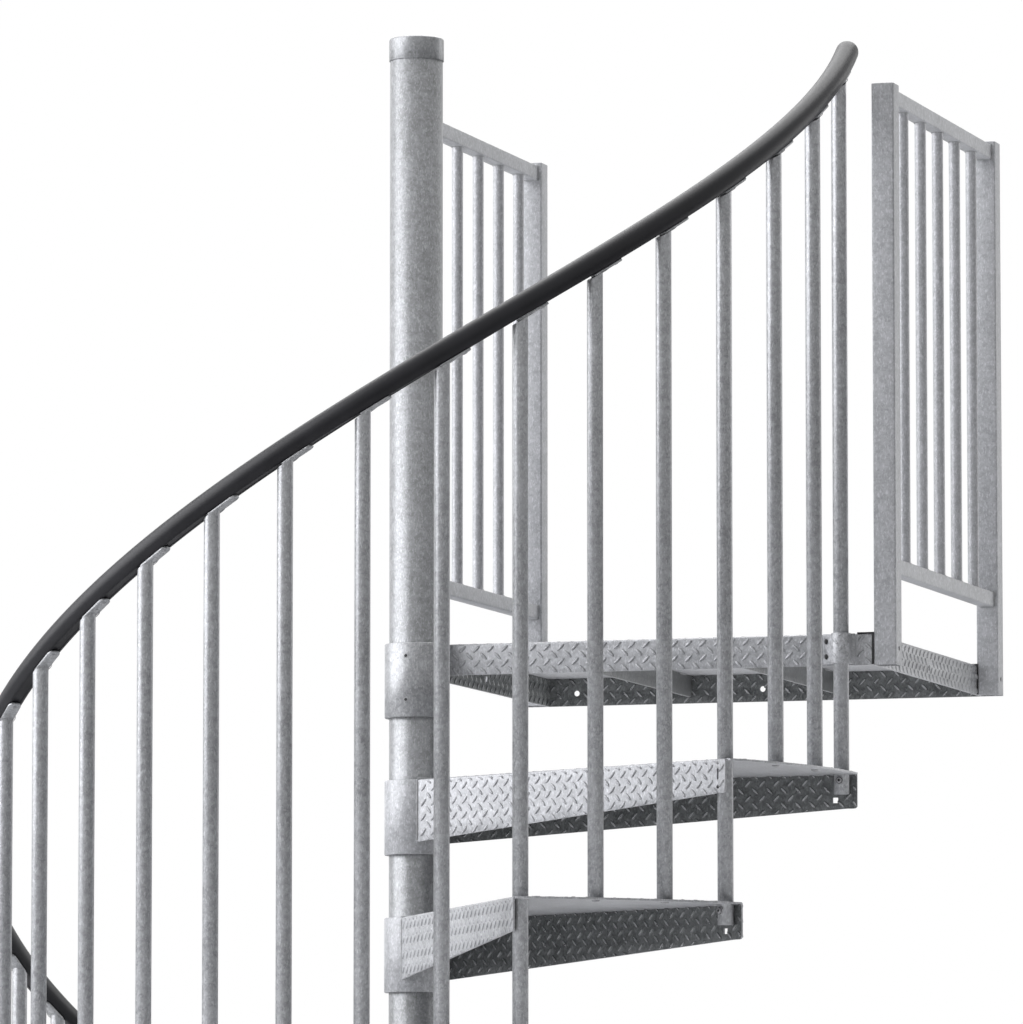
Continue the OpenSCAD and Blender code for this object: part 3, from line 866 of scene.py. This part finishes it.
# ---------------------------------------------------------------- landing
def deck():
    """The landing's plate with its skirts and the pattern on both."""
    x1, y0, y1, z = deck_high.x, deck_low.y, deck_high.y, LANDING_Z
    near = 0.05 * MM

    def bend(a, b):
        if abs(a.z - z) > near or abs(b.z - z) > near:
            return False
        return any(abs(a[i] - s) < near and abs(b[i] - s) < near
                   for i, s in ((0, 0.0), (0, x1), (1, y0), (1, y1)))

    shape = Shape(PLATE)
    mesh = softened("landing_deck", 0.5 * MM, bend)
    shape.merge_mesh(mesh)
    inner_x, inner_y = (PLATE_T, x1 - PLATE_T), (y0 + PLATE_T, y1 - PLATE_T)
    # The skirts' inner faces get the darker paint: painted shade
    for i, face in enumerate(mesh.polygons):
        c, n = face.center, face.normal
        on_side = any(abs(c[0] - s) < 0.3 * MM for s in inner_x) and abs(n.x) > 0.9
        on_end = any(abs(c[1] - s) < 0.3 * MM for s in inner_y) and abs(n.y) > 0.9
        if on_side or on_end:
            shape.paints[i] = PAINTED_SHADE_INSIDE
    clear = HUB_R + 3 * MM
    edge = BEND_R + 3 * MM

    def top(x, y):
        x, y = min(max(x, edge), x1 - edge), min(max(y, y0 + edge), y1 - edge)
        gap = math.hypot(x, y)
        if gap < clear:
            x, y = x * clear / gap, y * clear / gap
        return x, y

    # The pattern's sides are painted darker than its tops: painted shade
    lozenges(shape, Matrix.Translation((0, 0, z)), (0, x1, y0, y1), top, (), FLANK_PAINTED_SHADE, PLATE,
             tall=TOP_LOZENGE_H)

    def skirt(x_low, x_high):
        def clamp(x, y):
            return min(max(x, x_low), x_high), min(max(y, 0.8 * MM - SKIRT_H), -BEND_R)
        return clamp

    hub_x = math.sqrt(HUB_R ** 2 - y0 ** 2) + 2 * MM
    hub_y = HUB_R + 2 * MM
    hole_z = SKIRT_HOLE_UP - SKIRT_H
    holes = [(x, hole_z, 12 * MM) for x in (54 * MM, x1 / 2, x1 - 54 * MM)]
    side_hole = [((y1 - y0) / 2, hole_z, 12 * MM)]
    clamp_zone = [(x, -SKIRT_H / 2 + up, r) for up in (-14 * MM, 0, 14 * MM)
                  for x, r in ((clamp_low.x + 7 * MM, 15 * MM), (CIRCLE_R, 20 * MM))]
    inset = 3 * MM
    faces = (
        ((0, y0), (1, 0), hub_x, x1 - inset, clamp_zone),
        ((x1, y0), (0, 1), inset, y1 - y0 - inset, side_hole),
        ((x1, y1), (-1, 0), inset, x1 - inset, [(x1 - x, y, r) for x, y, r in holes]),
        ((0, y1), (0, -1), inset, y1 - hub_y, side_hole),
    )
    for at, along, low, high, blocked in faces:
        across = Vector((along[1], -along[0], 0))
        turned = Matrix((Vector((*along, 0)), (0, 0, 1), across)).transposed().to_4x4()
        place = Matrix.Translation((*at, z)) @ turned
        extent = (low, high, -SKIRT_H, 0)
        shift = (4 * MM, -9 * MM)
        # The pattern's sides are painted darker than its tops: painted shade
        lozenges(shape, place, extent, skirt(low, high), blocked, FLANK_PAINTED_SHADE, PLATE, shift)
        clear_ends = skirt(max(low, PLATE_T + 1 * MM), high - PLATE_T)
        # Inside, the pattern's sides take the painted shade and its tops a painted highlight
        lozenges(shape, place @ TO_INSIDE, extent, clear_ends, blocked, PAINTED_SHADE_INSIDE, CREST_WEAR_AND_HIGHLIGHT, shift)
    piece(shape, "landing_floor", "landing_deck")


def landing_sleeve():
    shape = Shape(STEEL)
    hub(shape, hub_low.z, hub_high.z)
    for share in SET_SCREWS:
        set_screw(shape, -TAU / 4, hub_high.z - share * HUB_H)
    seam = [polar(HUB_R, math.radians(14 + 3 * i), hub_high.z + 1 * MM) for i in range(26)]
    shape.bead(seam, 2.2 * MM, 13)
    piece(shape, "landing_sleeve", "landing_hub")


def ribs():
    for side in ("left", "right"):
        node = f"landing_rib_{side}"
        shape = Shape(RIB_PAINTED_SHADE)
        mesh = softened(node, 0.7 * MM)
        shape.merge_mesh(mesh)
        # The ribs' sides are painted darker as painted shade; their undersides keep the lighter
        # tube steel, so the lower edge shows a light line
        for i, face in enumerate(mesh.polygons):
            if face.normal.z < -0.7:
                shape.paints[i] = STEEL
        low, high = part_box(node)
        for x in (low.x - 0.3 * MM, high.x + 0.3 * MM):
            count = 6
            for i in range(count):
                y = low.y + (high.y - low.y) * (i + 0.5) / count
                run = [(x, y + 1.6 * MM * (n - 12), high.z - 0.6 * MM) for n in range(25)]
                shape.bead(run, 2 * MM, i)
        piece(shape, f"floor_{side}_rib", node)


def saddle():
    """The clamp that holds the top baluster, bent from tread plate, with two bolts in its ear."""
    shape = Shape(PLATE)
    shape.merge_mesh(softened("baluster_clamp", 0.5 * MM))
    mid_z = (clamp_low.z + clamp_high.z) / 2
    strap_r = TUBE_R + 0.2 * MM + CLAMP_T
    bolt_z = 12.5 * MM      # from the clamp's middle
    for z in (-bolt_z, bolt_z):
        at = (clamp_low.x + CLAMP_HOLE_INSET, clamp_high.y - CLAMP_T, mid_z + z)
        dark_stud(shape, (0, -1, 0), at)
    pattern = Shape()
    half_h = (clamp_high.z - clamp_low.z) / 2 - 1.5 * MM
    half_w = 1.25 * strap_r
    # The pattern's sides are painted darker than its tops: painted shade
    lozenges(pattern, Matrix.Identity(4), (-half_w, half_w, -half_h, half_h),
             lambda x, y: (min(max(x, -half_w), half_w), min(max(y, -half_h), half_h)), (),
             FLANK_PAINTED_SHADE, PLATE, (5 * MM, 0.0))
    for p in pattern.points:        # wraps the flat pattern round the strap
        turn, r = p.x / strap_r, strap_r + 0.5 * p.z
        p[:] = CIRCLE_R + r * math.sin(turn), -r * math.cos(turn), mid_z + p.y
    shape.merge(pattern)
    piece(shape, "saddle_clamp", "baluster_clamp")


# ---------------------------------------------------------------- guards
def guard(node, outside):
    """Posts, rails and bars of one guard. outside is the side, -1 or 1, that its screws are on."""
    low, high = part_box(node)
    x = (low.x + high.x) / 2
    half, corner, wall, edge = POST_W / 2, 3.2 * MM, 2 * MM, 1.2 * MM
    shape = Shape(GUARD)
    ends = (low.y + half, high.y - half)
    screw_z = LANDING_Z - 0.47 * SKIRT_H
    rings = [rounded_square(half - wall, 1.5 * MM, low.z + 80 * MM),
             rounded_square(half - wall, 1.5 * MM, low.z),
             rounded_square(half - 0.3 * MM, corner, low.z),
             rounded_square(half, corner, low.z + 0.5 * MM),
             rounded_square(half, corner, high.z - edge),
             rounded_square(half - 0.35 * edge, corner, high.z - 0.3 * edge),
             rounded_square(half - edge, corner, high.z)]
    for y in ends:
        post = Shape()
        post.loft(rings, None, Matrix.Translation((x, y, 0)))
        hole = Shape()
        place = along_z((outside, 0, 0), (x + outside * (half - 1.6 * MM), y, screw_z))
        hole.lathe([(SCREW_HOLE_R, 0), (SCREW_HOLE_R, 5 * MM)], 24, None, place)
        tool = linked("cutter", mesh_of(hole, "cutter"))
        cut = {"operation": "DIFFERENCE", "solver": "EXACT", "object": tool}
        shape.merge_mesh(modified(post, ("BOOLEAN", cut)))
        bpy.data.objects.remove(tool)
        # A dark disc in the screw hole: painted shade
        backing_r = SCREW_HOLE_R - 0.1 * MM
        shape.lathe([(backing_r, 0), (backing_r, 0.3 * MM)], 24, BLACK_AND_PAINTED_SHADE, place)
        at = (x + outside * (half - 1.4 * MM), y, screw_z)
        button_screw(shape, (outside, 0, 0), at, 3.6 * MM, 1.2 * MM, BLACK_AND_PAINTED_SHADE, BLACK_AND_PAINTED_SHADE)
    rail_half = GUARD_RAIL_W / 2
    levels = (LANDING_Z + BOTTOM_RAIL_CLEAR + rail_half, high.z - TOP_RAIL_DROP - rail_half)
    y0, y1 = ends[0] + half, ends[1] - half
    for z in levels:
        place = Matrix.Translation((x, y0, z)) @ Matrix.Rotation(-TAU / 4, 4, "X")
        shape.loft([rounded_square(rail_half, 2.4 * MM, y) for y in (0, y1 - y0)], None, place)
        for y in (0.4 * MM, y1 - y0 - 0.4 * MM):
            outline = rounded_square(rail_half + 0.3 * MM, 2.6 * MM, y, 6)
            shape.bead(outline, 1.3 * MM, 17, place, True)
    count = round((high.y - low.y - POST_W) / BAR_PITCH) - 1
    bottom, top = levels[0] + rail_half, levels[1] - rail_half
    for i in range(count):
        place = Matrix.Translation((x, (low.y + high.y) / 2 + (i - (count - 1) / 2) * BAR_PITCH, 0))
        shape.lathe([(BAR_R, bottom), (BAR_R, top)], 32, None, place)
        for z in (bottom + 0.3 * MM, top - 0.3 * MM):
            shape.bead(circle(BAR_R + 0.2 * MM, 36, z), 1.2 * MM, i, place, True)
    # Dark strips at the posts: painted shade of the gap beside the landing
    gap_shade_strips(shape, x - outside * half, -outside, ends, half)
    return shape


def gap_shade_strips(shape, side_x, inward, ends, half):
    """Dark strips between the landing's side and each post, with a lip on the floor: painted shade
    of the gap.
    """
    t, proud, lip, soft = 3.2 * MM, 0.5 * MM, 28 * MM, 0.3 * MM
    for number, y in enumerate(ends):
        front = y - half - proud
        if number == 0:     # round the landing's front corner
            low_x, high_x = sorted((side_x - inward * 0.2 * MM, side_x + inward * t))
        else:               # in front of the post, beside the skirt
            low_x, high_x = sorted((side_x, side_x - inward * t))
        bottom = deck_low.z + 1 * MM
        strips = [(low_x, high_x, front, front + 2 * proud, bottom, LANDING_Z + 2 * MM)]
        low_x, high_x = sorted((side_x - inward * 0.2 * MM, side_x + inward * lip))
        strips.append((low_x, high_x, front, y + half, LANDING_Z, LANDING_Z + 2 * MM))
        for x0, x1, y0, y1, z0, z1 in strips:
            cx, cy = (x0 + x1) / 2, (y0 + y1) / 2
            rings = []
            for inset, z in ((soft, z0), (0.0, z0 + soft), (0.0, z1 - soft), (soft, z1)):
                w, d = (x1 - x0) / 2 - inset, (y1 - y0) / 2 - inset
                rings.append([(cx + a * w, cy + b * d, z)
                              for a, b in ((-1, -1), (1, -1), (1, 1), (-1, 1))])
            shape.loft(rings, BLACK_AND_PAINTED_SHADE)


def guards():
    for node, outside in (("guard_left", -1), ("guard_right", 1)):
        piece(guard(node, outside), f"{node}_frame", node)


# ---------------------------------------------------------------- floor, light and camera
def stage_floor():
    """A matte floor that brightens away from the stair until it meets the white background, and
    glows for diffuse rays as a fill light from below.
    """
    material, tree, shader = new_material("pale_floor")
    tree.nodes.remove(shader)
    path = add(tree, "LightPath").outputs
    matte = add(tree, "BsdfDiffuse", {"Color": (0.8, 0.8, 0.81, 1)})
    place = add(tree, "TexCoord").outputs["Object"]
    away = add(tree, "VectorMath", {0: place}, operation="LENGTH").outputs["Value"]
    seen = maths(tree, "MULTIPLY", path["Is Camera Ray"], stretch(tree, away, 2.0, 14.0, 0.5, 1.0))
    # Glow seen by diffuse rays: a painted fill light on the stair's undersides
    under_glow = maths(tree, "MULTIPLY", path["Is Diffuse Ray"], 0.6)
    level = maths(tree, "MAXIMUM", seen, under_glow)
    glow = add(tree, "Emission", {"Color": (1, 1, 1, 1), "Strength": level})
    both = add(tree, "AddShader", {0: matte.outputs[0], 1: glow.outputs[0]})
    tree.links.new(both.outputs[0], tree.nodes["Material Output"].inputs["Surface"])
    mesh = bpy.data.meshes.new("floor")
    half = 40
    corners = [(-half, -half, 0), (half, -half, 0), (half, half, 0), (-half, half, 0)]
    mesh.from_pydata(corners, [], [(0, 1, 2, 3)])
    mesh.materials.append(material)
    linked("floor", mesh)


def world():
    """White to the camera and in reflections, and a weak even light on everything else."""
    scene_world = bpy.data.worlds.new("studio")
    bpy.context.scene.world = scene_world
    scene_world.use_nodes = True
    tree = scene_world.node_tree
    tree.nodes.clear()
    path = add(tree, "LightPath").outputs
    seen = maths(tree, "MAXIMUM", path["Is Camera Ray"], path["Is Glossy Ray"])
    seen = maths(tree, "MAXIMUM", seen, path["Is Transmission Ray"])
    ambient = add(tree, "Background", {"Color": (0.93, 0.96, 1.0, 1), "Strength": 0.08})
    white = add(tree, "Background", {"Color": (1, 1, 1, 1), "Strength": 1.0})
    mix = add(tree, "MixShader", {0: seen, 1: ambient.outputs[0], 2: white.outputs[0]})
    output = tree.nodes.new("ShaderNodeOutputWorld")
    tree.links.new(mix.outputs[0], output.inputs["Surface"])


# A tilted camera that shows nearly the same as the level, shifted one fitted to the photo
CAMERA_AT = (3.99888, -11.90335, 1.92361)
VIEW_YAW = math.radians(107.84)
VIEW_PITCH = math.radians(5.78)
SENSOR_W, FOCAL_LENGTH = 36, 265.3      # in millimetres
FORWARD = Vector(polar(1, VIEW_YAW))
RIGHT = Vector((FORWARD.y, -FORWARD.x, 0))
LAMP_AIM = Vector((0.2, 0.1, 2.3))
# Name, degrees right of the camera, height over the aim, distance, width and height, watts, colour
LAMPS = (
    ("key", -80, 2.8, 6.5, (7.4, 7.0), 790, (0.97, 0.975, 1.0)),
    ("rim", 124, 1.0, 8.0, (2.5, 6.0), 115, (1, 1, 1)),
    ("top", 180, 7.0, 2.5, (8.0, 8.0), 700, (1, 1, 1)),
)


def lamp(name, turn, height, distance, size, power, colour):
    """A soft area lamp that the camera doesn't see."""
    angle = math.radians(turn)
    away = distance * (-FORWARD * math.cos(angle) + RIGHT * math.sin(angle))
    at = LAMP_AIM + away + Vector((0, 0, height))
    data = bpy.data.lights.new(name, "AREA")
    data.shape = "RECTANGLE"
    data.size, data.size_y = size
    data.energy = power
    data.color = colour
    obj = linked(name, data)
    obj.location = at
    obj.rotation_euler = (LAMP_AIM - at).to_track_quat("-Z", "Y").to_euler()
    obj.visible_camera = False


def camera():
    data = bpy.data.cameras.new("camera")
    data.sensor_width = SENSOR_W
    data.sensor_fit = "HORIZONTAL"
    data.lens = FOCAL_LENGTH
    data.clip_end = 200
    obj = linked("camera", data)
    obj.location = CAMERA_AT
    look = FORWARD * math.cos(VIEW_PITCH) + Vector((0, 0, math.sin(VIEW_PITCH)))
    obj.rotation_euler = look.to_track_quat("-Z", "Y").to_euler()
    bpy.context.scene.camera = obj


camera()
bpy.context.scene.view_settings.view_transform = "Standard"
treads()
balusters()
handrail()
pole()
base()
deck()
landing_sleeve()
ribs()
saddle()
guards()
stage_floor()
world()
for settings in LAMPS:
    lamp(*settings)
